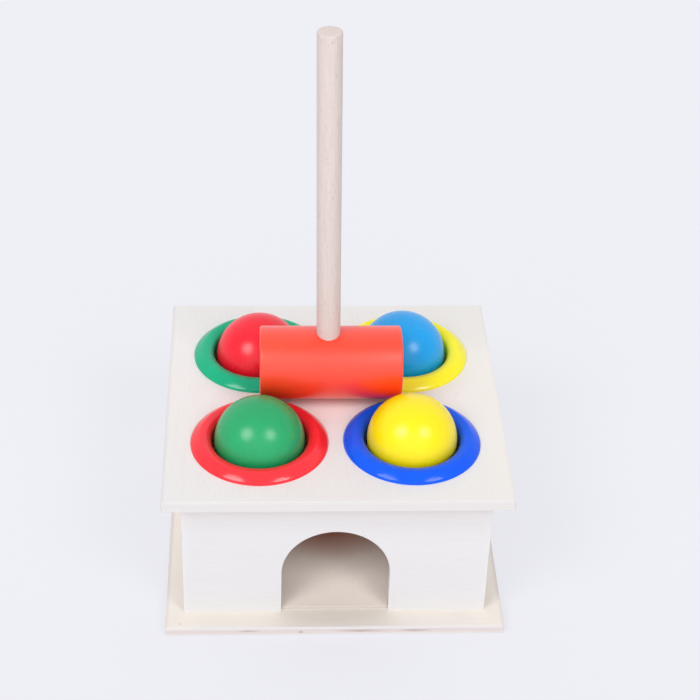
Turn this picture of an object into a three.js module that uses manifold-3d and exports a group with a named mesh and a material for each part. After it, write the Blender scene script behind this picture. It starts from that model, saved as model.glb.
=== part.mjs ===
// A wooden ball pounding toy: a plywood box, four rings, four balls and a mallet.
// Millimetres, +Z up, +Y to the back. The origin is the middle of the base plate's underside.

import * as THREE from 'three';
import { mergeVertices } from 'three/addons/utils/BufferGeometryUtils.js';
import Module from 'manifold-3d';

// Clearances
const runningClearance = 0.3;
const glueGap = 0.3;
const cutOverrun = 2;

// Balls
const ballDiameter = 33;

// How far each ball's middle stands above the top plate, as far as it was pressed into its ring
const frontLeftBallRise = 1.05;
const frontRightBallRise = 1.75;
const backLeftBallRise = -0.15;
const backRightBallRise = 0.75;

// Rings, from the throat that grips a ball out to the rim
const ringMouthFlare = 0.8;
const ringInnerRoll = 3.6;
const ringOuterRoll = 4;
const ringEdge = 0.35;
const ringFlankRadius = 10;
const ringFootDegrees = 33;
const ringShoulderDegrees = 51;
const ringInnerRollHeight = 2.4;
const ringThroatDepth = 1.6;
const ringCollarWall = 3.2;
const ringCollarProud = 1.2;
const ringExitFlare = 0.5;
const ringSnapBead = 0.7;
const ringSnapHeight = 0.8;
const ringGapAcross = 5.4;
const ringGapDeep = 4.6;

// Box of plywood panels
const topThickness = 4.3;
const topMarginAcross = 9.4;
const topMarginDeep = 9.05;
const topOverhangSide = 6.5;
const topOverhangFront = 8;
const wallHeight = 55.2;
const wallThickness = 4;
const baseThickness = 4;
const baseLedgeSide = 6.75;
const baseLedgeFront = 8.75;
const panelCornerRadius = 0.5;

// Arched ball exit in the front wall
const archSideClearance = 3.4;
const archSideHeight = 18.75;

// Ramp, its rear cleat and the two ball guides
const rampSlopeDegrees = 11;
const rampThickness = 3;
const rampFrontEdge = 1;
const rampFrontSetback = 1;
const cleatHeight = 10;
const cleatThickness = 8;
const cleatEndInset = 6;
const guideDepth = 10;
const guideHeight = 22;
const guideTipWidth = 1;

// Mallet
const headDiameter = 27.3;
const headLength = 52.65;
const headEdgeRadius = 1;
const headShift = 1.45;
const handleDiameter = 8.8;
const handleReach = 134.85;
const handleShift = 0.75;
const handleEdgeRadius = 0.6;
const handleLeanDegrees = 1;
const socketDepth = 20;

// Facets
const roundSegments = 40;
const rollSteps = 4;
const flankSteps = 2;
const edgeSteps = 3;
const ballSegments = 28;
const ballRows = 16;
const restSteps = 60;

// Sizes that follow from those above
const quarterTurn = Math.PI / 2;
const ballRadius = ballDiameter / 2;
const throatRadius = ballRadius + runningClearance;
const mouthRadius = throatRadius + ringMouthFlare;
const crestRadius = mouthRadius + ringInnerRoll;
const ringRadius = crestRadius + ringOuterRoll;
const collarRadius = throatRadius + ringCollarWall;
const plateHoleRadius = collarRadius + runningClearance;
const ringPitchAcross = 2 * ringRadius + ringGapAcross;
const ringPitchDeep = 2 * ringRadius + ringGapDeep;
const topWidth = ringPitchAcross + 2 * ringRadius + 2 * topMarginAcross;
const topDepth = ringPitchDeep + 2 * ringRadius + 2 * topMarginDeep;
const wallBoxWidth = topWidth - 2 * topOverhangSide;
const wallBoxDepth = topDepth - 2 * topOverhangFront;
const baseWidth = wallBoxWidth + 2 * baseLedgeSide;
const baseDepth = wallBoxDepth + 2 * baseLedgeFront;
const wallTop = baseThickness + wallHeight;
const plateSurface = wallTop + topThickness;
const insideWidth = wallBoxWidth - 2 * wallThickness;
const insideDepth = wallBoxDepth - 2 * wallThickness;
const archRadius = ballRadius + archSideClearance;
const ringFoot = THREE.MathUtils.degToRad(ringFootDegrees);
const ringShoulder = THREE.MathUtils.degToRad(ringShoulderDegrees);
const ringFlankDepth = ringFlankRadius * (Math.cos(ringFoot) - Math.cos(ringShoulder));
const ringFlankHeight = ringFlankRadius * (Math.sin(ringShoulder) - Math.sin(ringFoot));
const ringCrestArc = (ringOuterRoll - ringFlankDepth) / Math.cos(ringShoulder);
const ringHeight = ringEdge + ringFlankHeight + ringCrestArc * (1 - Math.sin(ringShoulder));
const rampSlope = THREE.MathUtils.degToRad(rampSlopeDegrees);
const rampFront = rampFrontSetback - wallBoxDepth / 2;
const rampBack = insideDepth / 2 - glueGap;
const headRadius = headDiameter / 2;
const handleRadius = handleDiameter / 2;

// Finishes
const plywood = { color: '#ece8e5', roughness: 0.75, metalness: 0 };
const plainWood = { color: '#e4d5cc', roughness: 0.7, metalness: 0 };
const orangePaint = { color: '#fa5a3c', roughness: 0.4, metalness: 0 };
const plasticFinish = { roughness: 0.28, metalness: 0 };
const paintFinish = { roughness: 0.35, metalness: 0 };

// Each place in the top plate, with its ring and ball
const [placeX, placeY] = [ringPitchAcross / 2, ringPitchDeep / 2];
const places = [
  { name: 'front_left', x: -placeX, y: -placeY, rise: frontLeftBallRise, ring: '#f0283c', ball: '#3cb478' },
  { name: 'front_right', x: placeX, y: -placeY, rise: frontRightBallRise, ring: '#285ae6', ball: '#faeb28' },
  { name: 'back_left', x: -placeX, y: placeY, rise: backLeftBallRise, ring: '#22a074', ball: '#fa3241' },
  { name: 'back_right', x: placeX, y: placeY, rise: backRightBallRise, ring: '#f5e63c', ball: '#28a0e1' }
];

const wasm = await Module();
wasm.setup();
const toy = new THREE.Group();

// A geometry as a solid, with its shared corners merged and its flat triangles dropped
function toSolid(geometry) {
  const bare = geometry.clone();
  bare.deleteAttribute('normal');
  bare.deleteAttribute('uv');
  const merged = mergeVertices(bare);
  const corners = merged.index.array;
  const kept = [];
  for (let i = 0; i < corners.length; i += 3) {
    const [a, b, c] = [corners[i], corners[i + 1], corners[i + 2]];
    if (a !== b && b !== c && c !== a) kept.push(a, b, c);
  }
  return new wasm.Manifold(new wasm.Mesh({
    numProp: 3,
    vertProperties: new Float32Array(merged.attributes.position.array),
    triVerts: new Uint32Array(kept)
  }));
}

// A solid as a geometry
function toGeometry(solid) {
  const mesh = solid.getMesh();
  const geometry = new THREE.BufferGeometry();
  geometry.setAttribute('position', new THREE.BufferAttribute(mesh.vertProperties, mesh.numProp));
  geometry.setIndex(new THREE.BufferAttribute(mesh.triVerts, 1));
  const split = geometry.toNonIndexed();
  split.computeVertexNormals();
  return split;
}

function addPiece(name, geometry, finish, parent = toy) {
  const mesh = new THREE.Mesh(geometry, new THREE.MeshStandardMaterial(finish));
  mesh.name = name;
  parent.add(mesh);
  return mesh;
}

// A box given by its lowest and highest corners
function boxBetween(low, high) {
  const size = high.map((value, axis) => value - low[axis]);
  const middle = high.map((value, axis) => (value + low[axis]) / 2);
  return new THREE.BoxGeometry(...size).translate(...middle);
}

// A side outline of depths and heights, drawn out along X
function drawnAcross(outline, fromX, toX) {
  const shape = new THREE.Shape(outline.map(([y, z]) => new THREE.Vector2(y, z)));
  const geometry = new THREE.ExtrudeGeometry(shape, { depth: toX - fromX, bevelEnabled: false });
  const alongY = new THREE.Vector3(0, 1, 0);
  const alongZ = new THREE.Vector3(0, 0, 1);
  const alongX = new THREE.Vector3(1, 0, 0);
  geometry.applyMatrix4(new THREE.Matrix4().makeBasis(alongY, alongZ, alongX));
  return geometry.translate(fromX, 0, 0);
}

// A profile of radii and heights, turned about Z
function turned(profile) {
  const points = profile.map(([radius, height]) => new THREE.Vector2(radius, height));
  return new THREE.LatheGeometry(points, roundSegments).rotateX(quarterTurn);
}

// Points along an ellipse, from one angle to another
function ellipseArc(middle, radii, fromAngle, toAngle, steps) {
  const points = [];
  for (let step = 0; step <= steps; step += 1) {
    const angle = fromAngle + (toAngle - fromAngle) * step / steps;
    points.push([middle[0] + radii[0] * Math.cos(angle), middle[1] + radii[1] * Math.sin(angle)]);
  }
  return points;
}

// A flat panel's outline, with its four corners just rounded
function panelShape(width, depth) {
  const [x, y, r] = [width / 2, depth / 2, panelCornerRadius];
  const shape = new THREE.Shape();
  shape.moveTo(r - x, -y);
  shape.absarc(x - r, r - y, r, -quarterTurn, 0);
  shape.absarc(x - r, y - r, r, 0, quarterTurn);
  shape.absarc(r - x, y - r, r, quarterTurn, 2 * quarterTurn);
  shape.absarc(r - x, r - y, r, 2 * quarterTurn, 3 * quarterTurn);
  return shape;
}

// Base plate, standing out all round the walls
function basePlate() {
  const options = { depth: baseThickness, bevelEnabled: false, curveSegments: edgeSteps };
  return new THREE.ExtrudeGeometry(panelShape(baseWidth, baseDepth), options);
}

// Top plate, with a round hole for each ring's collar
function topPlate() {
  const shape = panelShape(topWidth, topDepth);
  const options = { depth: topThickness, bevelEnabled: false, curveSegments: edgeSteps };
  let solid = toSolid(new THREE.ExtrudeGeometry(shape, options).translate(0, 0, wallTop));
  for (const place of places) {
    const length = topThickness + 2 * cutOverrun;
    const drill = new THREE.CylinderGeometry(plateHoleRadius, plateHoleRadius, length, roundSegments);
    drill.rotateX(quarterTurn).translate(place.x, place.y, wallTop + topThickness / 2);
    solid = solid.subtract(toSolid(drill));
  }
  return toGeometry(solid);
}

// Front wall, with the arched exit cut up from its lower edge
function frontWall() {
  const side = wallBoxWidth / 2;
  const shape = new THREE.Shape();
  shape.moveTo(-side, 0);
  shape.lineTo(-archRadius, 0);
  shape.lineTo(-archRadius, archSideHeight);
  shape.absarc(0, archSideHeight, archRadius, Math.PI, 0, true);
  shape.lineTo(archRadius, 0);
  shape.lineTo(side, 0);
  shape.lineTo(side, wallHeight);
  shape.lineTo(-side, wallHeight);
  const options = { depth: wallThickness, bevelEnabled: false, curveSegments: roundSegments / 4 };
  const geometry = new THREE.ExtrudeGeometry(shape, options).rotateX(quarterTurn);
  return geometry.translate(0, -insideDepth / 2, baseThickness);
}

// Height of the ramp's upper face at a depth in the box
function rampSurface(y) {
  return baseThickness + rampFrontEdge + (y - rampFront) * Math.tan(rampSlope);
}

// Ramp board, planed to a thin edge where it lies on the base, its tongue reaching into the arch
function rampBoard() {
  const drop = rampThickness / Math.cos(rampSlope);
  const outline = [
    [rampFront, baseThickness],
    [rampFront + (drop - rampFrontEdge) / Math.tan(rampSlope), baseThickness],
    [rampBack, rampSurface(rampBack) - drop],
    [rampBack, rampSurface(rampBack)],
    [rampFront, rampSurface(rampFront)]
  ];
  const side = insideWidth / 2 - glueGap;
  let solid = toSolid(drawnAcross(outline, -side, side));
  const tongueSide = archRadius - glueGap;
  const boardFront = glueGap - insideDepth / 2;
  for (const [fromX, toX] of [[-side - cutOverrun, -tongueSide], [tongueSide, side + cutOverrun]]) {
    const low = [fromX, rampFront - cutOverrun, baseThickness - cutOverrun];
    const high = [toX, boardFront, rampSurface(boardFront) + cutOverrun];
    solid = solid.subtract(toSolid(boxBetween(low, high)));
  }
  return toGeometry(solid);
}

// Cleat glued to the back wall, its upper face planed to the ramp's slope
function rampRearCleat() {
  const drop = rampThickness / Math.cos(rampSlope) + glueGap;
  const back = insideDepth / 2;
  const front = back - cleatThickness;
  const foot = rampSurface(back) - drop - cleatHeight;
  const outline = [
    [front, foot],
    [back, foot],
    [back, rampSurface(back) - drop],
    [front, rampSurface(front) - drop]
  ];
  const side = insideWidth / 2 - cleatEndInset;
  return drawnAcross(outline, -side, side);
}

// Wedge block in a front corner, which turns a rolling ball towards the arch
function ballGuide(side) {
  const front = glueGap - insideDepth / 2;
  const outer = insideWidth / 2 - glueGap;
  const shape = new THREE.Shape();
  shape.moveTo(archRadius, front);
  shape.lineTo(outer, front);
  shape.lineTo(outer, front + guideDepth);
  shape.lineTo(archRadius, front + guideTipWidth);
  const options = { depth: guideHeight, bevelEnabled: false };
  const block = new THREE.ExtrudeGeometry(shape, options).translate(0, 0, baseThickness);
  const rear = front + guideDepth + cutOverrun;
  const outline = [
    [front - cutOverrun, baseThickness - cutOverrun],
    [rear, baseThickness - cutOverrun],
    [rear, rampSurface(rear) + glueGap],
    [front - cutOverrun, rampSurface(front - cutOverrun) + glueGap]
  ];
  const below = drawnAcross(outline, archRadius - cutOverrun, outer + cutOverrun);
  const solid = toSolid(block).subtract(toSolid(below));
  return toGeometry(side < 0 ? solid.mirror([1, 0, 0]) : solid);
}

// Outer side of a ring's rim: a low edge, a long shallow flank and a rounder crest
function ringOuterCurve(steps) {
  const outerEdge = crestRadius + ringOuterRoll;
  const flankMiddle = [
    outerEdge - ringFlankRadius * Math.cos(ringFoot),
    ringEdge - ringFlankRadius * Math.sin(ringFoot)
  ];
  const crestMiddle = [crestRadius, ringHeight - ringCrestArc];
  const flankRadii = [ringFlankRadius, ringFlankRadius];
  return [
    [outerEdge, 0],
    ...ellipseArc(flankMiddle, flankRadii, ringFoot, ringShoulder, steps),
    ...ellipseArc(crestMiddle, [ringCrestArc, ringCrestArc], ringShoulder, quarterTurn, steps).slice(1)
  ];
}

// Snap-in ring: a rounded rim on the plate, a throat for the ball and a beaded collar below
function ring() {
  const underside = -topThickness;
  const foot = underside - ringCollarProud;
  const beadTop = foot + ringSnapHeight;
  const innerMiddle = [crestRadius, ringHeight - ringInnerRollHeight];
  const outerCurve = ringOuterCurve(flankSteps);
  const innerRoll = ellipseArc(innerMiddle, [ringInnerRoll, ringInnerRollHeight],
    quarterTurn, 2 * quarterTurn, rollSteps);
  return turned([
    ...outerCurve,
    ...innerRoll.slice(1),
    [throatRadius, -ringThroatDepth],
    [throatRadius, foot + ringExitFlare],
    [throatRadius + ringExitFlare, foot],
    [collarRadius, foot],
    [collarRadius + ringSnapBead, foot + ringSnapHeight / 2],
    [collarRadius, beadTop],
    [collarRadius, 0],
    outerCurve[0]
  ]);
}

// Height of the head's axis above the plate, where it lies on the rings or, if large, on the balls
function headAxisRise() {
  let rise = 0;
  for (const [radius, height] of ringOuterCurve(restSteps)) {
    const lift = Math.sqrt(Math.max(headRadius ** 2 - (placeY - radius) ** 2, 0));
    rise = Math.max(rise, height + lift);
  }
  const apart = headRadius + ballRadius;
  const overBalls = Math.sqrt(Math.max(apart ** 2 - placeY ** 2, 0));
  for (const place of places) rise = Math.max(rise, overBalls + place.rise);
  return rise + runningClearance;
}

// Profile of a turned rod from its lower end to its upper end, with rounded edges
function rodProfile(radius, low, high, edge) {
  return [
    [0, low],
    ...ellipseArc([radius - edge, low + edge], [edge, edge], -quarterTurn, 0, edgeSteps),
    ...ellipseArc([radius - edge, high - edge], [edge, edge], 0, quarterTurn, edgeSteps),
    [0, high]
  ];
}

// Mallet: a painted head bored part way through just left of its middle, and a plain dowel glued
// into it slightly out of square
function addMallet() {
  const mallet = new THREE.Group();
  mallet.position.set(-headShift, 0, plateSurface + headAxisRise());
  toy.add(mallet);
  const lean = -THREE.MathUtils.degToRad(handleLeanDegrees);
  const socketFloor = headRadius - socketDepth;
  const head = turned(rodProfile(headRadius, -headLength / 2, headLength / 2, headEdgeRadius));
  head.rotateY(quarterTurn);
  const boreRadius = handleRadius + glueGap;
  const boreTop = headRadius + cutOverrun;
  const bore = new THREE.CylinderGeometry(boreRadius, boreRadius, boreTop - socketFloor, roundSegments);
  bore.rotateX(quarterTurn).translate(0, 0, (boreTop + socketFloor) / 2).rotateY(lean);
  bore.translate(-handleShift, 0, 0);
  addPiece('mallet_head', toGeometry(toSolid(head).subtract(toSolid(bore))), orangePaint, mallet);
  const profile = rodProfile(handleRadius, socketFloor + glueGap, handleReach, handleEdgeRadius);
  const handle = addPiece('mallet_handle', turned(profile), plainWood, mallet);
  handle.position.x = -handleShift;
  handle.rotation.y = lean;
}

addPiece('base_plate', basePlate(), plywood);
addPiece('front_wall', frontWall(), plywood);

const backLow = [-wallBoxWidth / 2, insideDepth / 2, baseThickness];
const backHigh = [wallBoxWidth / 2, wallBoxDepth / 2, wallTop];
addPiece('back_wall', boxBetween(backLow, backHigh), plywood);

const leftLow = [-wallBoxWidth / 2, -insideDepth / 2, baseThickness];
const leftHigh = [-insideWidth / 2, insideDepth / 2, wallTop];
addPiece('left_wall', boxBetween(leftLow, leftHigh), plywood);

const rightLow = [insideWidth / 2, -insideDepth / 2, baseThickness];
const rightHigh = [wallBoxWidth / 2, insideDepth / 2, wallTop];
addPiece('right_wall', boxBetween(rightLow, rightHigh), plywood);

addPiece('top_plate', topPlate(), plywood);
addPiece('ramp_board', rampBoard(), plywood);
addPiece('ramp_rear_cleat', rampRearCleat(), plainWood);
addPiece('left_ball_guide', ballGuide(-1), plainWood);
addPiece('right_ball_guide', ballGuide(1), plainWood);

for (const place of places) {
  const collar = addPiece(`ring_${place.name}`, ring(), { ...plasticFinish, color: place.ring });
  collar.position.set(place.x, place.y, plateSurface);
  const sphere = new THREE.SphereGeometry(ballRadius, ballSegments, ballRows).rotateX(quarterTurn);
  const ball = addPiece(`ball_${place.name}`, sphere, { ...paintFinish, color: place.ball });
  ball.position.set(place.x, place.y, plateSurface + place.rise);
}

addMallet();

export default toy;
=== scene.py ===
import math

import bmesh
import bpy
from mathutils import Matrix, Vector


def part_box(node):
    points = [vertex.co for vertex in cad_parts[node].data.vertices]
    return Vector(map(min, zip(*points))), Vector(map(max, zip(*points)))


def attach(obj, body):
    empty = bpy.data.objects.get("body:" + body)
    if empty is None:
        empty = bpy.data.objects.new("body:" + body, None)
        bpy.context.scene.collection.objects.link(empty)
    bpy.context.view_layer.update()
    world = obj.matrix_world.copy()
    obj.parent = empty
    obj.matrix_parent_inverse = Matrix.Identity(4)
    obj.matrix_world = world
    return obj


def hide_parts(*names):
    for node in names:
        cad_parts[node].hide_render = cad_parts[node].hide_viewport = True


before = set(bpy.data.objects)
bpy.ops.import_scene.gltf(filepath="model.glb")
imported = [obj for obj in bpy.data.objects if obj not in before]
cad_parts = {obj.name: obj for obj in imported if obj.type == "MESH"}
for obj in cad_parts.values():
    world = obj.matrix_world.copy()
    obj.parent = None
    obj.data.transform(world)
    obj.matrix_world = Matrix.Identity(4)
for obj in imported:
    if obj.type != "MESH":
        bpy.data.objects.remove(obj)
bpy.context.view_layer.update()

mm = 0.001


# Base plate
# A square of 4 mm three-ply poplar board that the box is glued on. It is sawn to size, its
# corners are just rounded and its edges are eased with sandpaper, and it isn't varnished.
board_arris = 0.15 * mm
board_arris_steps = 2
board_corner_radius = 0.5 * mm
board_corner_steps = 5
along_x = 0
along_y = 1
along_z = 2
facing_share = 0.9
slant_share = math.sqrt(0.5)
smooth_angle = math.radians(30)
face_finish = 0
long_edge_finish = 1
end_edge_finish = 2
inside_finish = 3
white = "#ffffff"

# The sockets of a Mix node that mixes two colours.
colour_a = 6
colour_b = 7
colour_out = 2


def linear(colour):
    """The linear values, with alpha, of an sRGB colour written in hex."""
    toe_end, toe_slope, offset, power = 0.04045, 12.92, 0.055, 2.4
    values = []
    for place in (1, 3, 5):
        value = int(colour[place:place + 2], 16) / 255
        if value <= toe_end:
            values.append(value / toe_slope)
        else:
            values.append(((value + offset) / (1 + offset)) ** power)
    return (*values, 1)


def add_node(tree, kind, values=None, links=None, **settings):
    """Add a node with its settings, its plain socket values and the links into it."""
    node = tree.nodes.new(kind)
    for name, setting in settings.items():
        setattr(node, name, setting)
    for socket, value in (values or {}).items():
        node.inputs[socket].default_value = value
    for socket, source in (links or {}).items():
        tree.links.new(source, node.inputs[socket])
    return node


def set_ramp(node, stops):
    """Give a colour ramp its stops, each a position and a hex colour."""
    ramp = node.color_ramp
    while len(ramp.elements) < len(stops):
        ramp.elements.new(1)
    for element, (position, colour) in zip(ramp.elements, stops):
        element.position = position
        element.color = linear(colour)


def start_material(name, sockets):
    """A new material, its node tree and its shader with the given plain values."""
    material = bpy.data.materials.new(name)
    material.use_nodes = True
    surface = material.node_tree.nodes["Principled BSDF"]
    for socket, value in sockets.items():
        surface.inputs[socket].default_value = value
    return material, material.node_tree, surface


def sawn_block(low, high):
    """A block between two corners."""
    bm = bmesh.new()
    bmesh.ops.create_cube(bm, size=1)
    bmesh.ops.scale(bm, vec=high - low, verts=bm.verts)
    bmesh.ops.translate(bm, vec=(low + high) / 2, verts=bm.verts)
    return bm


def ease_edges(bm, width, steps, edges):
    """Round edges of a board over."""
    bmesh.ops.bevel(bm, geom=list(edges), offset=width, offset_type="OFFSET", affect="EDGES",
                    segments=steps, profile=0.5, material=-1)


def corner_edges(bm, axis, low, high):
    """The edges along an axis at the four outer corners of a board."""
    middle = (low + high) / 2
    reach = (high - low) / 2 * facing_share
    across = [other for other in range(3) if other != axis]
    found = []
    for edge in bm.edges:
        start, end = [vert.co for vert in edge.verts]
        offset = (start + end) / 2 - middle
        at_corner = all(abs(offset[side]) > reach[side] for side in across)
        if at_corner and abs((end - start).normalized()[axis]) > facing_share:
            found.append(edge)
    return found


def rim_edges(bm, axis):
    """The edges between the two faces of a board and its sawn sides."""
    found = []
    for edge in bm.edges:
        turns = sorted(abs(face.normal[axis]) for face in edge.link_faces)
        if turns[0] < 1 - facing_share and turns[1] > facing_share:
            found.append(edge)
    return found


def sort_finishes(bm, thickness_axis, grain_axis, inward=0):
    """Give a board's faces, long-grain and end-grain edges, and its inner side their finishes."""
    for face in bm.faces:
        if face.normal[thickness_axis] * inward > facing_share:
            face.material_index = inside_finish
        elif abs(face.normal[thickness_axis]) > facing_share:
            face.material_index = face_finish
        elif abs(face.normal[grain_axis]) > slant_share:
            face.material_index = long_edge_finish
        else:
            face.material_index = end_edge_finish


def finished_piece(name, bm, finishes, smooth=False):
    """Turn a bmesh into a scene object with its finishes."""
    bmesh.ops.recalc_face_normals(bm, faces=bm.faces)
    mesh = bpy.data.meshes.new(name)
    for finish in finishes:
        mesh.materials.append(finish)
    for face in bm.faces:
        face.smooth = smooth
    bm.to_mesh(mesh)
    bm.free()
    if smooth:
        mesh.set_sharp_from_angle(angle=smooth_angle)
    piece = bpy.data.objects.new(name, mesh)
    bpy.context.scene.collection.objects.link(piece)
    return piece


def with_flaws(tree, place, wood, flaws, colour):
    """Change a wood colour at a few knots, gaps or marks, each a middle and its half sizes."""
    for middle, half_sizes in flaws:
        near = add_node(tree, "ShaderNodeMapping", {"Location": middle, "Scale": half_sizes},
                        {"Vector": place}, vector_type="TEXTURE")
        spot = add_node(tree, "ShaderNodeTexGradient", links={"Vector": near.outputs["Vector"]},
                        gradient_type="SPHERICAL")
        wood = add_node(tree, "ShaderNodeMix", {colour_b: linear(colour)},
                        {"Factor": spot.outputs["Fac"], colour_a: wood},
                        data_type="RGBA").outputs[colour_out]
    return wood


def add_marks(material, marks, colour):
    """Mark a finished board at a few places, each a middle and its half sizes."""
    tree = material.node_tree
    surface = tree.nodes["Principled BSDF"]
    place = add_node(tree, "ShaderNodeTexCoord").outputs["Object"]
    wood = surface.inputs["Base Color"].links[0].from_socket
    tree.links.new(with_flaws(tree, place, wood, marks, colour), surface.inputs["Base Color"])


# Poplar face veneer: rotary cut and sanded, so it is pale and nearly even, with long soft
# figure, fine short fibres along the grain and a few pores. Dry wood has hardly any shine.
# The fibres and pores are drawn wider than real ones, which would be too fine to show.
fibre_width = 0.7 * mm
fibre_length = 16 * mm
figure_width = 11 * mm
figure_length = 90 * mm
pore_width = 0.22 * mm
pore_length = 2.6 * mm
fibre_relief = 0.05 * mm
sanded_band = 3.4 * mm
fibre_shade = "#fcfbfa"
pore_shade = "#f4efeb"
knot_shade = "#d3b9b0"


def poplar_veneer(name, low, high, thickness_axis, grain_axis, tones, knots):
    """The face of a plywood board, with its grain along one axis and its border sanded paler."""
    material, tree, surface = start_material(name, {"Roughness": 0.72, "Specular IOR Level": 0.3})
    place = add_node(tree, "ShaderNodeTexCoord").outputs["Object"]

    def along_grain(across, along):
        sizes = [across] * 3
        sizes[grain_axis] = along
        return add_node(tree, "ShaderNodeMapping", {"Location": low, "Scale": sizes},
                        {"Vector": place}, vector_type="TEXTURE").outputs["Vector"]

    figure = add_node(tree, "ShaderNodeTexNoise", {"Scale": 1, "Detail": 3, "Distortion": 0.6},
                      {"Vector": along_grain(figure_width, figure_length)})
    figure_tone = add_node(tree, "ShaderNodeValToRGB", links={"Fac": figure.outputs["Fac"]})
    set_ramp(figure_tone, [(0.3, tones["figure"]), (0.65, tones["face"])])
    fibre = add_node(tree, "ShaderNodeTexNoise", {"Scale": 1, "Detail": 4, "Roughness": 0.65},
                     {"Vector": along_grain(fibre_width, fibre_length)})
    fibre_tone = add_node(tree, "ShaderNodeValToRGB", links={"Fac": fibre.outputs["Fac"]})
    set_ramp(fibre_tone, [(0.3, fibre_shade), (0.6, white)])
    pores = add_node(tree, "ShaderNodeTexNoise", {"Scale": 1, "Detail": 1},
                     {"Vector": along_grain(pore_width, pore_length)})
    pore_tone = add_node(tree, "ShaderNodeValToRGB", links={"Fac": pores.outputs["Fac"]})
    set_ramp(pore_tone, [(0.2, pore_shade), (0.33, white)])
    wood = figure_tone.outputs["Color"]
    for shade in (fibre_tone, pore_tone):
        wood = add_node(tree, "ShaderNodeMix", {"Factor": 1},
                        {colour_a: wood, colour_b: shade.outputs["Color"]},
                        data_type="RGBA", blend_type="MULTIPLY").outputs[colour_out]

    centred = add_node(tree, "ShaderNodeMapping", {"Location": (low + high) / 2},
                       {"Vector": place}, vector_type="TEXTURE")
    parts = add_node(tree, "ShaderNodeSeparateXYZ", links={0: centred.outputs["Vector"]})
    nearness = []
    for axis in range(3):
        if axis != thickness_axis:
            half = (high[axis] - low[axis]) / 2
            reach = add_node(tree, "ShaderNodeMath", links={0: parts.outputs[axis]},
                             operation="ABSOLUTE")
            near = add_node(tree, "ShaderNodeMapRange",
                            {"From Min": half - sanded_band, "From Max": half},
                            {"Value": reach.outputs[0]})
            nearness.append(near.outputs["Result"])
    border = add_node(tree, "ShaderNodeMath", links=dict(enumerate(nearness)), operation="MAXIMUM")
    wood = add_node(tree, "ShaderNodeMix", {colour_b: linear(tones["sanded"])},
                    {"Factor": border.outputs[0], colour_a: wood},
                    data_type="RGBA").outputs[colour_out]
    wood = with_flaws(tree, place, wood, knots, knot_shade)
    tree.links.new(wood, surface.inputs["Base Color"])

    bump = add_node(tree, "ShaderNodeBump", {"Strength": 0.3, "Distance": fibre_relief},
                    {"Height": fibre.outputs["Fac"]})
    tree.links.new(bump.outputs["Normal"], surface.inputs["Normal"])
    return material


# Sawn plywood edge: the two face veneers show pale and the core between them darker where
# its grain ends, with a thin glue line above it and a few dark gaps in it.
core_start = 0.26
core_end = 0.66
glue_share = 0.05
wander_share = 0.12
saw_mark = 0.5 * mm
saw_relief = 0.06 * mm
core_run = 14 * mm


def ply_edge(name, low, high, thickness_axis, tones, gaps):
    """The sawn edge of a plywood board, with its three plies along one axis."""
    material, tree, surface = start_material(name, {"Roughness": 0.8, "Specular IOR Level": 0.25})
    place = add_node(tree, "ShaderNodeTexCoord").outputs["Object"]
    sizes = [core_run] * 3
    sizes[thickness_axis] = high[thickness_axis] - low[thickness_axis]
    laid = add_node(tree, "ShaderNodeMapping", {"Location": low, "Scale": sizes},
                    {"Vector": place}, vector_type="TEXTURE")
    parts = add_node(tree, "ShaderNodeSeparateXYZ", links={0: laid.outputs["Vector"]})
    wander = add_node(tree, "ShaderNodeTexNoise", {"Scale": 1, "Detail": 3},
                      {"Vector": laid.outputs["Vector"]})
    depth = add_node(tree, "ShaderNodeMath", {1: wander_share},
                     {0: wander.outputs["Fac"], 2: parts.outputs[thickness_axis]},
                     operation="MULTIPLY_ADD")
    plies = add_node(tree, "ShaderNodeValToRGB", links={"Fac": depth.outputs[0]})
    lower = core_start + wander_share / 2
    upper = core_end + wander_share / 2
    set_ramp(plies, [(lower - glue_share, tones["veneer"]), (lower, tones["core"]),
                     (upper - glue_share, tones["core"]), (upper, tones["glue"]),
                     (upper + glue_share, tones["veneer"])])
    wood = with_flaws(tree, place, plies.outputs["Color"], gaps, tones["gap"])
    tree.links.new(wood, surface.inputs["Base Color"])
    sawn = add_node(tree, "ShaderNodeMapping", {"Scale": [saw_mark] * 3}, {"Vector": place},
                    vector_type="TEXTURE")
    marks = add_node(tree, "ShaderNodeTexNoise", {"Scale": 1, "Detail": 3},
                     {"Vector": sawn.outputs["Vector"]})
    bump = add_node(tree, "ShaderNodeBump", {"Strength": 0.4, "Distance": saw_relief},
                    {"Height": marks.outputs["Fac"]})
    tree.links.new(bump.outputs["Normal"], surface.inputs["Normal"])
    return material


# An edge that runs along the core's grain is nearly one tone. The inner sides get a browner
# copy of the veneer, painted shade for the dark inside of the box.
long_edge_tones = {"veneer": "#dedbd9", "glue": "#dcd8d6", "core": "#ddd9d7", "gap": "#cdc3bf"}
end_edge_tones = {"veneer": "#dedad9", "glue": "#d2c5c1", "core": "#d9cfcb", "gap": "#b5a39d"}
inside_shade_tones = {"face": "#efbb95", "figure": "#ebb790", "sanded": "#edb993"}


def board_finishes(name, low, high, thickness_axis, grain_axis, face_tones, knots=(), gaps=()):
    """The finishes of a plywood board: face, long-grain edge, end-grain edge, inner side in painted
    shade.
    """
    return [poplar_veneer(name + " poplar face", low, high, thickness_axis, grain_axis,
                          face_tones, knots),
            ply_edge(name + " long edge", low, high, thickness_axis, long_edge_tones, ()),
            ply_edge(name + " end edge", low, high, thickness_axis, end_edge_tones, gaps),
            poplar_veneer(name + " poplar inside", low, high, thickness_axis, grain_axis,
                          inside_shade_tones, ())]


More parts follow.
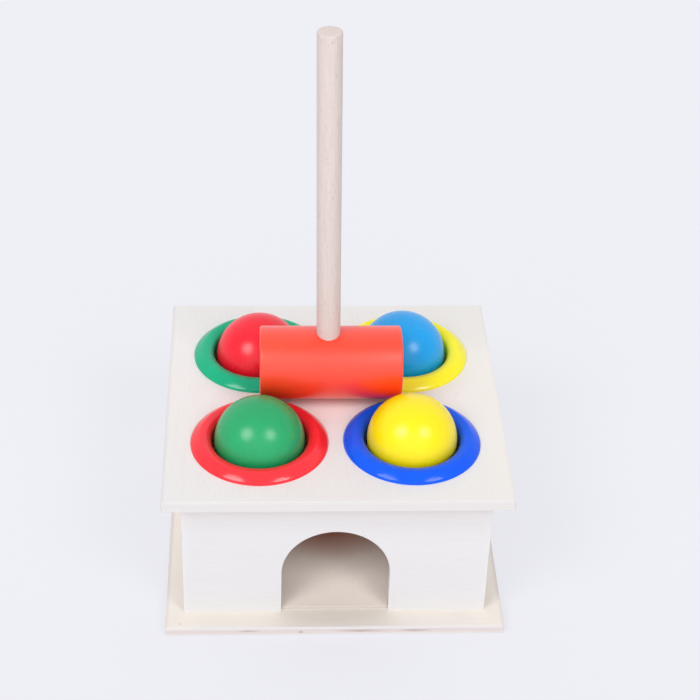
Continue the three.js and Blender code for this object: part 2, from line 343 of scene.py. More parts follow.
base_tones = {"face": "#e7e1da", "figure": "#e5dfd8", "sanded": "#e7e2dd"}
base_low, base_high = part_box("base_plate")
base_knot = Vector((-57.3 * mm, -60.2 * mm, base_high.z))
base_knot_size = [0.7 * mm] * 3
gap_depth = 1 * mm
core_gaps = [(-12.7, 1.6, 1.3, 0.9), (9.3, 2, 11, 0.8), (29.6, 2, 7, 0.8), (-32, 2.2, 5, 0.6)]
base_gaps = [(Vector((x * mm, base_low.y, z * mm)), (long * mm, gap_depth, high * mm))
             for x, z, long, high in core_gaps]
bm = sawn_block(base_low, base_high)
ease_edges(bm, board_corner_radius, board_corner_steps,
           corner_edges(bm, along_z, base_low, base_high))
ease_edges(bm, board_arris, board_arris_steps, rim_edges(bm, along_z))
sort_finishes(bm, along_z, along_x)
base_finishes = board_finishes("base plywood", base_low, base_high, along_z, along_x, base_tones,
                               [(base_knot, base_knot_size)], base_gaps)

# Painted light pales the face at both sides, under the plate's overhang, and painted shade
# greys it along its left and right edges.
painted_side_light_x = 59.5 * mm
painted_side_light_y = 10 * mm
painted_side_light_size = (20 * mm, 84 * mm, 5 * mm)
painted_side_light_tone = "#faf2ea"
painted_side_lights = [(Vector((side * painted_side_light_x, painted_side_light_y, base_high.z)), painted_side_light_size)
              for side in (-1, 1)]
add_marks(base_finishes[face_finish], painted_side_lights, painted_side_light_tone)
# Painted shade greys the face along its left and right edges.
painted_edge_shade_size = (1.6 * mm, 500 * mm, 5 * mm)
base_edge_shade_tone = "#ddd5d0"
painted_shade_edges = [(Vector((x, 0, base_high.z)), painted_edge_shade_size) for x in (base_low.x, base_high.x)]
add_marks(base_finishes[face_finish], painted_shade_edges, base_edge_shade_tone)
base = finished_piece("base_board", bm, base_finishes)
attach(base, "box")
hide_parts("base_plate")


# Back and side walls
# Three rectangles of the same plywood, butted together with glue: the side walls stand
# between the front and back walls, which run the full width and show their plies there.
wall_tones = {"face": "#e0dedd", "figure": "#dedcda", "sanded": "#e0dddc"}
for node, thickness_axis, grain_axis, inward in (("back_wall", along_y, along_x, -1),
                                                 ("left_wall", along_x, along_y, 1),
                                                 ("right_wall", along_x, along_y, -1)):
    low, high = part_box(node)
    bm = sawn_block(low, high)
    if thickness_axis == along_y:
        ease_edges(bm, board_arris, board_arris_steps, corner_edges(bm, along_z, low, high))
    sort_finishes(bm, thickness_axis, grain_axis, inward)
    finishes = board_finishes(node.replace("_", " ") + " plywood", low, high, thickness_axis,
                              grain_axis, wall_tones)
    wall = finished_piece(node.replace("wall", "panel"), bm, finishes)
    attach(wall, "box")
    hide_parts(node)


# Front wall
# The same plywood, with the arch that the balls roll out of routed up from its lower edge. The
# arch's edge is eased too. Painted light makes the veneer paler just under the plate, where
# the plate's overhang casts shade.
arch_radius = 19.9 * mm
arch_side_height = 18.75 * mm
arch_steps = 64
front_tones = {"face": "#dfdedf", "figure": "#dddcdd", "sanded": "#dfdede"}
painted_light_band = (2000 * mm, 20 * mm, 13 * mm)
painted_light_band_tone = "#faf9fa"
front_low, front_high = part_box("front_wall")
bm = bmesh.new()
spring_height = front_low.z + arch_side_height
spring = bm.verts.new((-arch_radius, front_low.y, spring_height))
arch = bmesh.ops.spin(bm, geom=[spring], cent=(0, front_low.y, spring_height), axis=(0, 1, 0),
                      angle=math.pi, steps=arch_steps)
far_spring = [vert for vert in arch["geom_last"] if isinstance(vert, bmesh.types.BMVert)][0]
corners = [(arch_radius, front_low.z), (front_high.x, front_low.z), (front_high.x, front_high.z),
           (front_low.x, front_high.z), (front_low.x, front_low.z), (-arch_radius, front_low.z)]
previous = far_spring
for x, z in corners:
    corner = bm.verts.new((x, front_low.y, z))
    bm.edges.new((previous, corner))
    previous = corner
bm.edges.new((previous, spring))
bmesh.ops.contextual_create(bm, geom=bm.edges[:])
grown = bmesh.ops.extrude_face_region(bm, geom=bm.faces[:])
back_verts = [vert for vert in grown["geom"] if isinstance(vert, bmesh.types.BMVert)]
bmesh.ops.translate(bm, vec=(0, front_high.y - front_low.y, 0), verts=back_verts)
bmesh.ops.recalc_face_normals(bm, faces=bm.faces)
arch_rim = []
for edge in rim_edges(bm, along_y):
    middle = (edge.verts[0].co + edge.verts[1].co) / 2
    if front_low.z < middle.z < spring_height + arch_radius and abs(middle.x) <= arch_radius:
        arch_rim.append(edge)
ease_edges(bm, board_arris, board_arris_steps,
           arch_rim + corner_edges(bm, along_z, front_low, front_high))
sort_finishes(bm, along_y, along_x, inward=1)
front_finishes = board_finishes("front plywood", front_low, front_high, along_y, along_x,
                                front_tones)
# Painted light pales the veneer just under the plate's overhang.
painted_light_joint = Vector((0, front_low.y, front_high.z))
add_marks(front_finishes[face_finish], [(painted_light_joint, painted_light_band)], painted_light_band_tone)
front_panel = finished_piece("front_panel", bm, front_finishes)
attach(front_panel, "box")
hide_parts("front_wall")


# Ramp
# A 3 mm board glued at 11 degrees on the base and on the rear cleat, with painted brown shade in
# its middle, where the box is dark inside. Its tongue, planed thin in front, is darkened with
# painted shade and lies in the arch with no step.
ramp_front_edge = 1 * mm
ramp_thickness = 3 * mm
ramp_arris = 0.15 * mm
tongue_gap = 0.05 * mm
glue_line = 0.3 * mm
ramp_tones = {"face": "#f8ede5", "figure": "#f5eae2", "sanded": "#f1e6dc"}
ramp_edge_tones = {"veneer": "#cfc5bd", "glue": "#c9beb5", "core": "#ccc2b9", "gap": "#b5a79c"}
# Painted brown shade in the ramp's middle and painted shade on its tongue.
painted_shade_middle = (0, -16 * mm, 13 * mm)
painted_shade_size = (26 * mm, 16 * mm, 20 * mm)
painted_shade_tone = "#bd6243"
painted_front_shade_middle = (0, -58 * mm, 5 * mm)
painted_front_shade_size = (60 * mm, 20 * mm, 20 * mm)
painted_front_shade_tone = "#dcd2cb"
ramp_low, ramp_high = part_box("ramp_board")
ramp_rise = ramp_high.z - ramp_low.z - ramp_front_edge
ramp_slope = math.atan2(ramp_rise, ramp_high.y - ramp_low.y)
ramp_drop = ramp_thickness / math.cos(ramp_slope)
tongue_side = arch_radius - tongue_gap
board_front = front_high.y + glue_line


def ramp_surface(y):
    """Height of the upper face of the ramp at a depth in the box."""
    return ramp_low.z + ramp_front_edge + (y - ramp_low.y) * math.tan(ramp_slope)


bm = bmesh.new()
plan = [(ramp_low.x, board_front), (-tongue_side, board_front), (-tongue_side, ramp_low.y),
        (tongue_side, ramp_low.y), (tongue_side, board_front), (ramp_high.x, board_front),
        (ramp_high.x, ramp_high.y), (ramp_low.x, ramp_high.y)]
plan_verts = [bm.verts.new((x, y, 0)) for x, y in plan]
bmesh.ops.contextual_create(bm, geom=plan_verts)
lift_off = ramp_low.y + (ramp_drop - ramp_front_edge) / math.tan(ramp_slope)
bmesh.ops.bisect_plane(bm, geom=bm.verts[:] + bm.edges[:] + bm.faces[:],
                       plane_co=(0, lift_off, 0), plane_no=(0, 1, 0))
grown = bmesh.ops.extrude_face_region(bm, geom=bm.faces[:])
upper = {part for part in grown["geom"] if isinstance(part, bmesh.types.BMVert)}
for vert in bm.verts:
    surface_height = ramp_surface(vert.co.y)
    if vert in upper:
        vert.co.z = surface_height
    else:
        vert.co.z = max(ramp_low.z, surface_height - ramp_drop)
bmesh.ops.recalc_face_normals(bm, faces=bm.faces)
ease_edges(bm, ramp_arris, board_arris_steps, rim_edges(bm, along_z))
sort_finishes(bm, along_z, along_y)
ramp_finishes = board_finishes("ramp plywood", ramp_low, ramp_high, along_z, along_y, ramp_tones)
ramp_finishes[long_edge_finish] = ply_edge("ramp planed edge", ramp_low, ramp_high, along_z,
                                           ramp_edge_tones, ())
for middle, size, tone in ((painted_shade_middle, painted_shade_size, painted_shade_tone),
                           (painted_front_shade_middle, painted_front_shade_size, painted_front_shade_tone)):
    add_marks(ramp_finishes[face_finish], [(middle, size)], tone)
ramp = finished_piece("ramp", bm, ramp_finishes)
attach(ramp, "box")
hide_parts("ramp_board")


# Rear cleat and ball guides
# Three offcuts of plain beech, planed and glued in: the cleat carries the ramp's upper end, and
# a wedge in each front corner turns a rolling ball towards the arch. They are never varnished.
guide_tip = 1 * mm
guide_arris = 0.4 * mm
beech_fibre_width = 0.55 * mm
beech_fibre_length = 13 * mm
beech_fleck_width = 0.4 * mm
beech_fleck_length = 2.2 * mm
fleck_shade = "#eee4df"


def plain_beech(name, middle, lean, grain_axis, tones, knots=()):
    """Sanded beech with no varnish: pale and pinkish, with short dark flecks along the grain."""
    material, tree, surface = start_material(name, {"Roughness": 0.62, "Specular IOR Level": 0.35})
    place = add_node(tree, "ShaderNodeTexCoord").outputs["Object"]

    def along_grain(across, along):
        sizes = [across] * 3
        sizes[grain_axis] = along
        return add_node(tree, "ShaderNodeMapping",
                        {"Location": middle, "Rotation": (0, lean, 0), "Scale": sizes},
                        {"Vector": place}, vector_type="TEXTURE").outputs["Vector"]

    fibre = add_node(tree, "ShaderNodeTexNoise", {"Scale": 1, "Detail": 4, "Roughness": 0.6},
                     {"Vector": along_grain(beech_fibre_width, beech_fibre_length)})
    fibre_tone = add_node(tree, "ShaderNodeValToRGB", links={"Fac": fibre.outputs["Fac"]})
    set_ramp(fibre_tone, [(0.3, tones["dark"]), (0.65, tones["light"])])
    fleck = add_node(tree, "ShaderNodeTexNoise", {"Scale": 1, "Detail": 1},
                     {"Vector": along_grain(beech_fleck_width, beech_fleck_length)})
    fleck_tone = add_node(tree, "ShaderNodeValToRGB", links={"Fac": fleck.outputs["Fac"]})
    set_ramp(fleck_tone, [(0.24, fleck_shade), (0.36, white)])
    wood = add_node(tree, "ShaderNodeMix", {"Factor": 1},
                    {colour_a: fibre_tone.outputs["Color"], colour_b: fleck_tone.outputs["Color"]},
                    data_type="RGBA", blend_type="MULTIPLY").outputs[colour_out]
    wood = with_flaws(tree, place, wood, knots, knot_shade)
    tree.links.new(wood, surface.inputs["Base Color"])
    bump = add_node(tree, "ShaderNodeBump", {"Strength": 0.3, "Distance": fibre_relief},
                    {"Height": fibre.outputs["Fac"]})
    tree.links.new(bump.outputs["Normal"], surface.inputs["Normal"])
    return material


offcut_tones = {"light": "#e8dad1", "dark": "#ddccc1"}
cleat_low, cleat_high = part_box("ramp_rear_cleat")
bm = sawn_block(cleat_low, cleat_high)
for vert in bm.verts:
    if vert.co.z > (cleat_low.z + cleat_high.z) / 2:
        vert.co.z = cleat_high.z - (cleat_high.y - vert.co.y) * math.tan(ramp_slope)
ease_edges(bm, guide_arris, board_arris_steps, bm.edges)
cleat_beech = plain_beech("cleat beech", (cleat_low + cleat_high) / 2, 0, along_x, offcut_tones)
cleat = finished_piece("cleat", bm, [cleat_beech])
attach(cleat, "box")
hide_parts("ramp_rear_cleat")

for side_name, side in (("left", -1), ("right", 1)):
    node = side_name + "_ball_guide"
    low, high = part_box(node)
    inner, outer = (high.x, low.x) if side < 0 else (low.x, high.x)
    bm = bmesh.new()
    plan = [(inner, low.y), (outer, low.y), (outer, high.y), (inner, low.y + guide_tip)]
    plan_verts = [bm.verts.new((x, y, high.z)) for x, y in plan]
    bmesh.ops.contextual_create(bm, geom=plan_verts)
    grown = bmesh.ops.extrude_face_region(bm, geom=bm.faces[:])
    for vert in grown["geom"]:
        if isinstance(vert, bmesh.types.BMVert):
            vert.co.z = ramp_surface(vert.co.y) + glue_line
    bmesh.ops.recalc_face_normals(bm, faces=bm.faces)
    ease_edges(bm, guide_arris, board_arris_steps, bm.edges)
    guide_beech = plain_beech(side_name + " guide beech", (low + high) / 2, 0, along_x,
                              offcut_tones)
    guide = finished_piece(side_name + "_guide", bm, [guide_beech])
    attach(guide, "box")
    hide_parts(node)


# Top plate
# The same plywood, standing out all round the walls, with four holes bored for the rings.
# Its face grain runs to the back, so the core's end grain shows at its left and right edges.
top_hole_radius = 20.3 * mm
top_hole_steps = 96
top_tones = {"face": "#e7e5e5", "figure": "#e5e3e3", "sanded": "#e7e5e5"}
top_low, top_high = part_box("top_plate")
top_knot = Vector((47.2 * mm, 1.4 * mm, top_high.z))
top_knot_size = (1 * mm, 1.3 * mm, 1 * mm)
quarter_join = 0.01 * mm
ring_low, ring_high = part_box("ring_back_right")
ring_middle = (ring_low + ring_high) / 2
bm = bmesh.new()
bmesh.ops.create_circle(bm, segments=top_hole_steps, radius=top_hole_radius)
border = bmesh.ops.create_circle(bm, segments=top_hole_steps, radius=2 * top_hole_radius)
reaches = ((-ring_middle.x, top_high.x - ring_middle.x),
           (-ring_middle.y, top_high.y - ring_middle.y))
for vert in border["verts"]:
    square = max(abs(vert.co.x), abs(vert.co.y))
    for axis in (along_x, along_y):
        share = vert.co[axis] / square
        vert.co[axis] = abs(share) * reaches[axis][1 if share > 0 else 0]
bmesh.ops.bridge_loops(bm, edges=bm.edges[:])
bmesh.ops.translate(bm, vec=(ring_middle.x, ring_middle.y, top_low.z), verts=bm.verts)
for axis in ("X", "Y"):
    bmesh.ops.mirror(bm, geom=bm.verts[:] + bm.edges[:] + bm.faces[:], matrix=Matrix(),
                     merge_dist=quarter_join, axis=axis)
grown = bmesh.ops.extrude_face_region(bm, geom=bm.faces[:])
upper_verts = [part for part in grown["geom"] if isinstance(part, bmesh.types.BMVert)]
bmesh.ops.translate(bm, vec=(0, 0, top_high.z - top_low.z), verts=upper_verts)
bmesh.ops.recalc_face_normals(bm, faces=bm.faces)
ease_edges(bm, board_corner_radius, board_corner_steps,
           corner_edges(bm, along_z, top_low, top_high))
ease_edges(bm, board_arris, board_arris_steps, rim_edges(bm, along_z))
sort_finishes(bm, along_z, along_y, inward=-1)
top_finishes = board_finishes("top plywood", top_low, top_high, along_z, along_y, top_tones,
                              [(top_knot, top_knot_size)])

# Painted shade greys the face along its left and right edges, painted light pales its middle in
# front of the mallet head, and it is a little warmer towards the right.
top_edge_shade_tone = "#dbd7d7"
painted_shade_edges = [(Vector((x, 0, top_high.z)), painted_edge_shade_size) for x in (top_low.x, top_high.x)]
add_marks(top_finishes[face_finish], painted_shade_edges, top_edge_shade_tone)
# Painted light pales the plate in front of the mallet head.
painted_light_middle = Vector((0, -6 * mm, top_high.z))
painted_light_size = (32 * mm, 22 * mm, 5 * mm)
painted_light_tone = "#f4f3f3"
warm_side = Vector((62 * mm, 0, top_high.z))
warm_size = (50 * mm, 130 * mm, 5 * mm)
warm_tone = "#e8e4df"
for middle, size, tone in ((painted_light_middle, painted_light_size, painted_light_tone),
                           (warm_side, warm_size, warm_tone)):
    add_marks(top_finishes[face_finish], [(middle, size)], tone)
top = finished_piece("top_board", bm, top_finishes)
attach(top, "box")
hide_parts("top_plate")


# Rings
# Four snap-in rings of moulded polypropylene: a low rim with a long shallow flank on the plate,
# a throat that grips the ball, and a collar through the plate with a bead that clicks in below.
throat_radius = 16.8 * mm
ring_mouth_flare = 0.8 * mm
ring_inner_roll = 3.6 * mm
ring_outer_roll = 4 * mm
ring_edge = 0.3 * mm
ring_rim_radius = 3 * mm
ring_flank_radius = 20 * mm
ring_foot_degrees = 24
ring_rim_degrees = 48
ring_shoulder_degrees = 56
ring_inner_roll_height = 2.4 * mm
ring_throat_depth = 1.6 * mm
ring_collar_wall = 3.2 * mm
ring_collar_proud = 1.2 * mm
ring_exit_flare = 0.5 * mm
ring_snap_bead = 0.7 * mm
ring_snap_height = 0.8 * mm
ring_arc_steps = 10
ring_roll_steps = 16
ring_steps = 144
moulding_texture = 0.45 * mm
moulding_relief = 0.02 * mm
moulding_flow = 9 * mm
seam_join = 0.001 * mm


def arc(middle, radii, from_degrees, to_degrees, steps):
    """Points of radius and height along the arc of an ellipse."""
    points = []
    for step in range(steps + 1):
        angle = math.radians(from_degrees + (to_degrees - from_degrees) * step / steps)
        points.append((middle[0] + radii[0] * math.cos(angle),
                       middle[1] + radii[1] * math.sin(angle)))
    return points


def turned_piece(profile, middle, steps, closed):
    """Turn a profile of radii and heights about a vertical axis through a point."""
    bm = bmesh.new()
    verts = [bm.verts.new((middle.x + radius, middle.y, middle.z + height))
             for radius, height in profile]
    pairs = list(zip(verts, verts[1:]))
    if closed:
        pairs.append((verts[-1], verts[0]))
    edges = [bm.edges.new(pair) for pair in pairs]
    bmesh.ops.spin(bm, geom=verts + edges, cent=middle, axis=(0, 0, 1), angle=2 * math.pi,
                   steps=steps, use_merge=True)
    bmesh.ops.remove_doubles(bm, verts=bm.verts, dist=seam_join)
    bmesh.ops.recalc_face_normals(bm, faces=bm.faces)
    return bm


def moulded_plastic(name, colour, shade, shine, middle):
    """Moulded polypropylene: even colour right through, softly glossy, faintly uneven skin."""
    material, tree, surface = start_material(name, {"IOR": 1.49, "Specular IOR Level": shine})
    place = add_node(tree, "ShaderNodeTexCoord").outputs["Object"]
    flow_place = add_node(tree, "ShaderNodeMapping",
                          {"Location": middle, "Scale": [moulding_flow] * 3}, {"Vector": place},
                          vector_type="TEXTURE")
    flow = add_node(tree, "ShaderNodeTexNoise", {"Scale": 1, "Detail": 2, "Distortion": 0.8},
                    {"Vector": flow_place.outputs["Vector"]})
    tone = add_node(tree, "ShaderNodeValToRGB", links={"Fac": flow.outputs["Fac"]})
    set_ramp(tone, [(0.3, shade), (0.7, colour)])
    tree.links.new(tone.outputs["Color"], surface.inputs["Base Color"])
    gloss = add_node(tree, "ShaderNodeMapRange", {"To Min": 0.11, "To Max": 0.16},
                     {"Value": flow.outputs["Fac"]})
    tree.links.new(gloss.outputs["Result"], surface.inputs["Roughness"])
    skin_place = add_node(tree, "ShaderNodeMapping",
                          {"Location": middle, "Scale": [moulding_texture] * 3},
                          {"Vector": place}, vector_type="TEXTURE")
    skin = add_node(tree, "ShaderNodeTexNoise", {"Scale": 1, "Detail": 2},
                    {"Vector": skin_place.outputs["Vector"]})
    bump = add_node(tree, "ShaderNodeBump", {"Strength": 0.12, "Distance": moulding_relief},
                    {"Height": skin.outputs["Fac"]})
    tree.links.new(bump.outputs["Normal"], surface.inputs["Normal"])
    return material


mouth_radius = throat_radius + ring_mouth_flare
crest_radius = mouth_radius + ring_inner_roll
outer_radius = crest_radius + ring_outer_roll
collar_radius = throat_radius + ring_collar_wall
plate_thickness = top_high.z - top_low.z
collar_foot = -plate_thickness - ring_collar_proud
shoulder = math.radians(ring_shoulder_degrees)


def arc_from(start, radius, from_degrees, to_degrees, steps):
    """Points along an arc of a circle that begins at a point."""
    angle = math.radians(from_degrees)
    middle = (start[0] - radius * math.cos(angle), start[1] - radius * math.sin(angle))
    return arc(middle, (radius, radius), from_degrees, to_degrees, steps)


rim = arc_from((outer_radius, ring_edge), ring_rim_radius, ring_foot_degrees, ring_rim_degrees,
               ring_arc_steps)
flank = arc_from(rim[-1], ring_flank_radius, ring_rim_degrees, ring_shoulder_degrees,
                 ring_arc_steps)
shoulder_radius, shoulder_height = flank[-1]
crest_arc = (shoulder_radius - crest_radius) / math.cos(shoulder)
ring_height = shoulder_height + crest_arc * (1 - math.sin(shoulder))
ring_profile = [
    (outer_radius, 0),
    *rim,
    *flank[1:],
    *arc((crest_radius, ring_height - crest_arc), (crest_arc, crest_arc), ring_shoulder_degrees, 90,
         ring_arc_steps)[1:],
    *arc((crest_radius, ring_height - ring_inner_roll_height),
         (ring_inner_roll, ring_inner_roll_height), 90, 180, ring_roll_steps)[1:],
    (throat_radius, -ring_throat_depth),
    (throat_radius, collar_foot + ring_exit_flare),
    (throat_radius + ring_exit_flare, collar_foot),
    (collar_radius, collar_foot),
    (collar_radius + ring_snap_bead, collar_foot + ring_snap_height / 2),
    (collar_radius, collar_foot + ring_snap_height),
    (collar_radius, 0)]

# Each ring's colour, its tone, the darker tone of the flow in it, and its shine.
ring_colours = {
    "front_left": ("red", "#fa2a36", "#f62632", 0.5),
    "front_right": ("blue", "#005bf3", "#0057ee", 0.27),
    "back_left": ("green", "#02b584", "#00ae7d", 0.38),
    "back_right": ("yellow", "#fff40c", "#fcf008", 0.5)}
for place_name, (colour_name, colour, shade, shine) in ring_colours.items():
    node = "ring_" + place_name
    low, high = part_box(node)
    middle = Vector(((low.x + high.x) / 2, (low.y + high.y) / 2, top_high.z))
    bm = turned_piece(ring_profile, middle, ring_steps, closed=True)
    finish = moulded_plastic(colour_name + " polypropylene", colour, shade, shine, middle)
    ring = finished_piece(place_name + "_ring", bm, [finish], smooth=True)
    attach(ring, "box")
    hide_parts(node)


# Balls
# Four turned beech balls of 33 mm, sprayed with a thick satin enamel that hides the grain but
# takes a trace of its relief. Each is a friction fit in the throat of its ring.
ball_fineness = 6
paint_grain_width = 0.9 * mm
paint_grain_length = 9 * mm
paint_relief = 0.03 * mm
paint_cloud = 12 * mm


def sprayed_enamel(name, colour, shade, middle, gloss_range, sockets):
    """Satin enamel sprayed on turned wood: clean strong colour, soft gloss, a trace of grain."""
    material, tree, surface = start_material(name, {"IOR": 1.5, **sockets})
    place = add_node(tree, "ShaderNodeTexCoord").outputs["Object"]
    cloud_place = add_node(tree, "ShaderNodeMapping",
                           {"Location": middle, "Scale": [paint_cloud] * 3}, {"Vector": place},
                           vector_type="TEXTURE")
    cloud = add_node(tree, "ShaderNodeTexNoise", {"Scale": 1, "Detail": 2},
                     {"Vector": cloud_place.outputs["Vector"]})
    tone = add_node(tree, "ShaderNodeValToRGB", links={"Fac": cloud.outputs["Fac"]})
    set_ramp(tone, [(0.35, shade), (0.65, colour)])
    tree.links.new(tone.outputs["Color"], surface.inputs["Base Color"])
    gloss = add_node(tree, "ShaderNodeMapRange",
                     {"To Min": gloss_range[0], "To Max": gloss_range[1]},
                     {"Value": cloud.outputs["Fac"]})
    tree.links.new(gloss.outputs["Result"], surface.inputs["Roughness"])
    sizes = (paint_grain_length, paint_grain_width, paint_grain_width)
    grain_place = add_node(tree, "ShaderNodeMapping", {"Location": middle, "Scale": sizes},
                           {"Vector": place}, vector_type="TEXTURE")
    grain = add_node(tree, "ShaderNodeTexNoise", {"Scale": 1, "Detail": 3},
                     {"Vector": grain_place.outputs["Vector"]})
    bump = add_node(tree, "ShaderNodeBump", {"Strength": 0.12, "Distance": paint_relief},
                    {"Height": grain.outputs["Fac"]})
    tree.links.new(bump.outputs["Normal"], surface.inputs["Normal"])
    return material


ball_gloss = (0.25, 0.3)
ball_shine = {"Specular IOR Level": 0.48}

# Each ball's colour, its tone and the darker tone where the enamel is thicker.
ball_colours = {
    "front_left": ("green", "#1ca867", "#1aa362"),
    "front_right": ("yellow", "#ffe900", "#ffe500"),
    "back_left": ("red", "#fb122e", "#f8102c"),
    "back_right": ("blue", "#00a6f2", "#00a2ee")}
for place_name, (colour_name, colour, shade) in ball_colours.items():
    node = "ball_" + place_name
    low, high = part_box(node)
    middle = (low + high) / 2
    bm = bmesh.new()
    bmesh.ops.create_icosphere(bm, subdivisions=ball_fineness, radius=(high.z - low.z) / 2)
    bmesh.ops.translate(bm, vec=middle, verts=bm.verts)
    finish = sprayed_enamel(colour_name + " satin enamel", colour, shade, middle, ball_gloss,
                            ball_shine)
    ball = finished_piece(place_name + "_beech_ball", bm, [finish], smooth=True)
    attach(ball, place_name + "_ball")
    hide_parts(node)


# Mallet head
# A turned beech cylinder with both ends eased, sprayed with orange-red satin enamel and bored
# part way through for the handle, which is glued in a little off its middle and out of square.
# The enamel has a duller clear coat, whose broad gloss makes the upper side paler.
head_edge_radius = 1 * mm
head_edge_steps = 5
head_steps = 128
handle_diameter = 8.8 * mm
handle_shift = 0.75 * mm
handle_lean = math.radians(-1)
socket_depth = 20 * mm
socket_clearance = 0.05 * mm
socket_overrun = 2 * mm
head_smooth_angle = math.radians(40)
head_tone = "#fb3a10"
head_shade = "#f8360d"
head_gloss = (0.36, 0.42)
head_shine = {"Specular IOR Level": 0.5, "Coat Weight": 0.9, "Coat Roughness": 0.42}
head_low, head_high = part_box("mallet_head")
head_middle = (head_low + head_high) / 2
head_radius = (head_high.y - head_low.y) / 2
head_reach = (head_high.x - head_low.x) / 2
handle_middle = head_middle - Vector((handle_shift, 0, 0))
onto_x = Matrix.Rotation(math.pi / 2, 3, "Y")
leaning = Matrix.Rotation(handle_lean, 3, "Y")


def rod_profile(radius, low, high, edge, steps):
    """The profile of a turned rod with both its ends eased."""
    return [(0, low),
            *arc((radius - edge, low + edge), (edge, edge), -90, 0, steps),
            *arc((radius - edge, high - edge), (edge, edge), 0, 90, steps),
            (0, high)]


origin = Vector((0, 0, 0))
bm = turned_piece(rod_profile(head_radius, -head_reach, head_reach, head_edge_radius,
                              head_edge_steps), origin, head_steps, closed=False)
bmesh.ops.rotate(bm, cent=origin, matrix=onto_x, verts=bm.verts)
bmesh.ops.translate(bm, vec=head_middle, verts=bm.verts)
head_enamel = sprayed_enamel("orange satin enamel", head_tone, head_shade, head_middle,
                             head_gloss, head_shine)
head = finished_piece("head", bm, [head_enamel], smooth=True)

socket_floor = head_radius - socket_depth
bm = bmesh.new()
bmesh.ops.create_cone(bm, cap_ends=True, segments=head_steps,
                      radius1=handle_diameter / 2 + socket_clearance,
                      radius2=handle_diameter / 2 + socket_clearance,
                      depth=socket_depth + socket_overrun)
bmesh.ops.translate(bm, vec=(0, 0, socket_floor + (socket_depth + socket_overrun) / 2),
                    verts=bm.verts)
bmesh.ops.rotate(bm, cent=origin, matrix=leaning, verts=bm.verts)
bmesh.ops.translate(bm, vec=handle_middle, verts=bm.verts)
drill = finished_piece("drill", bm, [head_enamel], smooth=True)
boring = head.modifiers.new("socket", "BOOLEAN")
boring.operation = "DIFFERENCE"
boring.solver = "EXACT"
boring.object = drill
depsgraph = bpy.context.evaluated_depsgraph_get()
bored_mesh = bpy.data.meshes.new_from_object(head.evaluated_get(depsgraph))
head.modifiers.clear()
head.data = bored_mesh
head.data.set_sharp_from_angle(angle=head_smooth_angle)
bpy.data.objects.remove(drill)
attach(head, "mallet")
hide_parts("mallet_head")


# Mallet handle
# A bought beech dowel of 8.8 mm, cut off, its end eased, sanded and left bare. It leans a
# little to the left in its socket, as the photographed one does.
handle_edge_radius = 0.6 * mm
handle_edge_steps = 4
handle_steps = 72
socket_air = 0.3 * mm
handle_tones = {"light": "#ddd0cb", "dark": "#d6c7c1"}
handle_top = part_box("mallet_handle")[1].z
handle_radius = handle_diameter / 2
tip_rise = handle_top - handle_middle.z
raised_side = (handle_radius - handle_edge_radius) * math.sin(abs(handle_lean))
handle_tip = (tip_rise - raised_side) / math.cos(handle_lean) - socket_clearance
bm = turned_piece(rod_profile(handle_radius, socket_floor + socket_air, handle_tip,
                              handle_edge_radius, handle_edge_steps), origin, handle_steps,
                  closed=False)
bmesh.ops.rotate(bm, cent=origin, matrix=leaning, verts=bm.verts)
bmesh.ops.translate(bm, vec=handle_middle, verts=bm.verts)
handle_knot = Vector((-3.7 * mm, -handle_radius, 212.2 * mm))
handle_knot_size = [0.9 * mm] * 3
handle_beech = plain_beech("handle beech", handle_middle, handle_lean, along_z, handle_tones,
                           [(handle_knot, handle_knot_size)])
handle = finished_piece("dowel", bm, [handle_beech], smooth=True)
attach(handle, "mallet")
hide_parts("mallet_handle")


# Studio
# A wide pale floor that runs to the horizon, an even pale sky that fills the shadows, two soft
# lights in front, the left one the larger, and two wide screens, one in front and one behind.
# The screens are as pale as the sky behind them, so a gloss shows that sky in their place.
floor_size = 12
paper_white = "#f0f0f7"
paper_shade = "#e4e4ec"
paper_glow = 0.72
fill_strength = 0.3


def seen_directly(tree):
    """A factor that is 1 for what the camera sees, itself or in a gloss or through glass."""
    path = add_node(tree, "ShaderNodeLightPath")
    seen = add_node(tree, "ShaderNodeMath", links={0: path.outputs["Is Camera Ray"],
                                                   1: path.outputs["Is Glossy Ray"]},
                    operation="ADD")
    return add_node(tree, "ShaderNodeMath", links={0: seen.outputs[0],
                                                   1: path.outputs["Is Transmission Ray"]},
                    operation="ADD", use_clamp=True).outputs[0]


bm = bmesh.new()
bmesh.ops.create_grid(bm, x_segments=1, y_segments=1, size=floor_size / 2)
paper, paper_tree, paper_surface = start_material("matt paper floor", {
    "Base Color": linear(paper_shade), "Roughness": 1, "Specular IOR Level": 0})
glow = add_node(paper_tree, "ShaderNodeEmission", {"Color": linear(paper_white), "Strength": 1})
glow_share = add_node(paper_tree, "ShaderNodeMath", {1: paper_glow},
                      {0: seen_directly(paper_tree)}, operation="MULTIPLY")
lit_paper = add_node(paper_tree, "ShaderNodeMixShader", links={
    0: glow_share.outputs[0], 1: paper_surface.outputs["BSDF"], 2: glow.outputs["Emission"]})
paper_tree.links.new(lit_paper.outputs["Shader"],
                     paper_tree.nodes["Material Output"].inputs["Surface"])
floor = finished_piece("floor", bm, [paper])

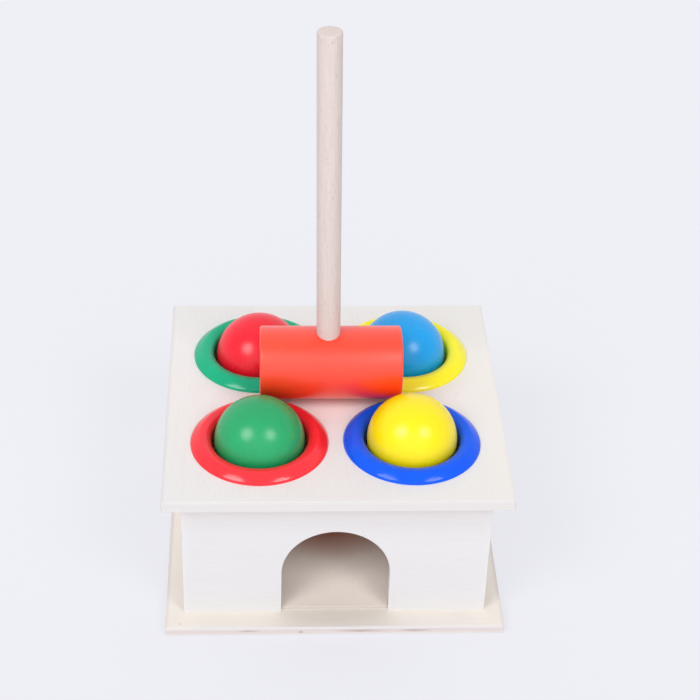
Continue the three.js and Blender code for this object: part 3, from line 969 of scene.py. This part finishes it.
world = bpy.data.worlds.new("pale studio")
bpy.context.scene.world = world
world.use_nodes = True
sky = world.node_tree
fill = sky.nodes["Background"]
fill.inputs["Strength"].default_value = fill_strength
fill.inputs["Color"].default_value = linear(white)
backdrop = add_node(sky, "ShaderNodeBackground", {"Color": linear(paper_white), "Strength": 1})
chosen = add_node(sky, "ShaderNodeMixShader", links={0: seen_directly(sky),
                                                     1: fill.outputs["Background"],
                                                     2: backdrop.outputs["Background"]})
sky.links.new(chosen.outputs["Shader"], sky.nodes["World Output"].inputs["Surface"])

soft_lights = {"left_softbox": {"azimuth": -46.5, "elevation": 44, "strength": 1.17, "spread": 27},
               "right_softbox": {"azimuth": 39.5, "elevation": 44, "strength": 0.88, "spread": 23}}
screens = {"front_screen": {"azimuth": -4, "elevation": 15, "strength": 1.1, "spread": 64},
           "back_screen": {"azimuth": 180, "elevation": 40, "strength": 1.15, "spread": 90}}
for name, setting in (soft_lights | screens).items():
    lamp = bpy.data.lights.new(name, "SUN")
    lamp.energy = setting["strength"]
    lamp.angle = math.radians(setting["spread"])
    light = bpy.data.objects.new(name, lamp)
    turn = Matrix.Rotation(math.radians(setting["azimuth"]), 4, "Z")
    tilt = Matrix.Rotation(math.radians(90 - setting["elevation"]), 4, "X")
    light.matrix_world = turn @ tilt
    light.visible_glossy = name in soft_lights
    bpy.context.scene.collection.objects.link(light)


# Camera
# A portrait-length lens from in front and above, where the photograph was taken from.
camera_place = Vector((-28.4, -547.2, 474.4)) * mm
camera_yaw = math.radians(3.571)
camera_pitch = math.radians(-35.376)
camera_roll = math.radians(1.994)
camera_lens = 93.0
camera_sensor = 36
camera_near = 10 * mm
lens = bpy.data.cameras.new("camera")
lens.lens = camera_lens
lens.sensor_width = camera_sensor
lens.clip_start = camera_near
camera = bpy.data.objects.new("camera", lens)
camera.matrix_world = (Matrix.Translation(camera_place) @ Matrix.Rotation(-camera_yaw, 4, "Z")
                       @ Matrix.Rotation(math.pi / 2 + camera_pitch, 4, "X")
                       @ Matrix.Rotation(camera_roll, 4, "Z"))
bpy.context.scene.collection.objects.link(camera)
bpy.context.scene.camera = camera
bpy.context.scene.view_settings.view_transform = "Standard"
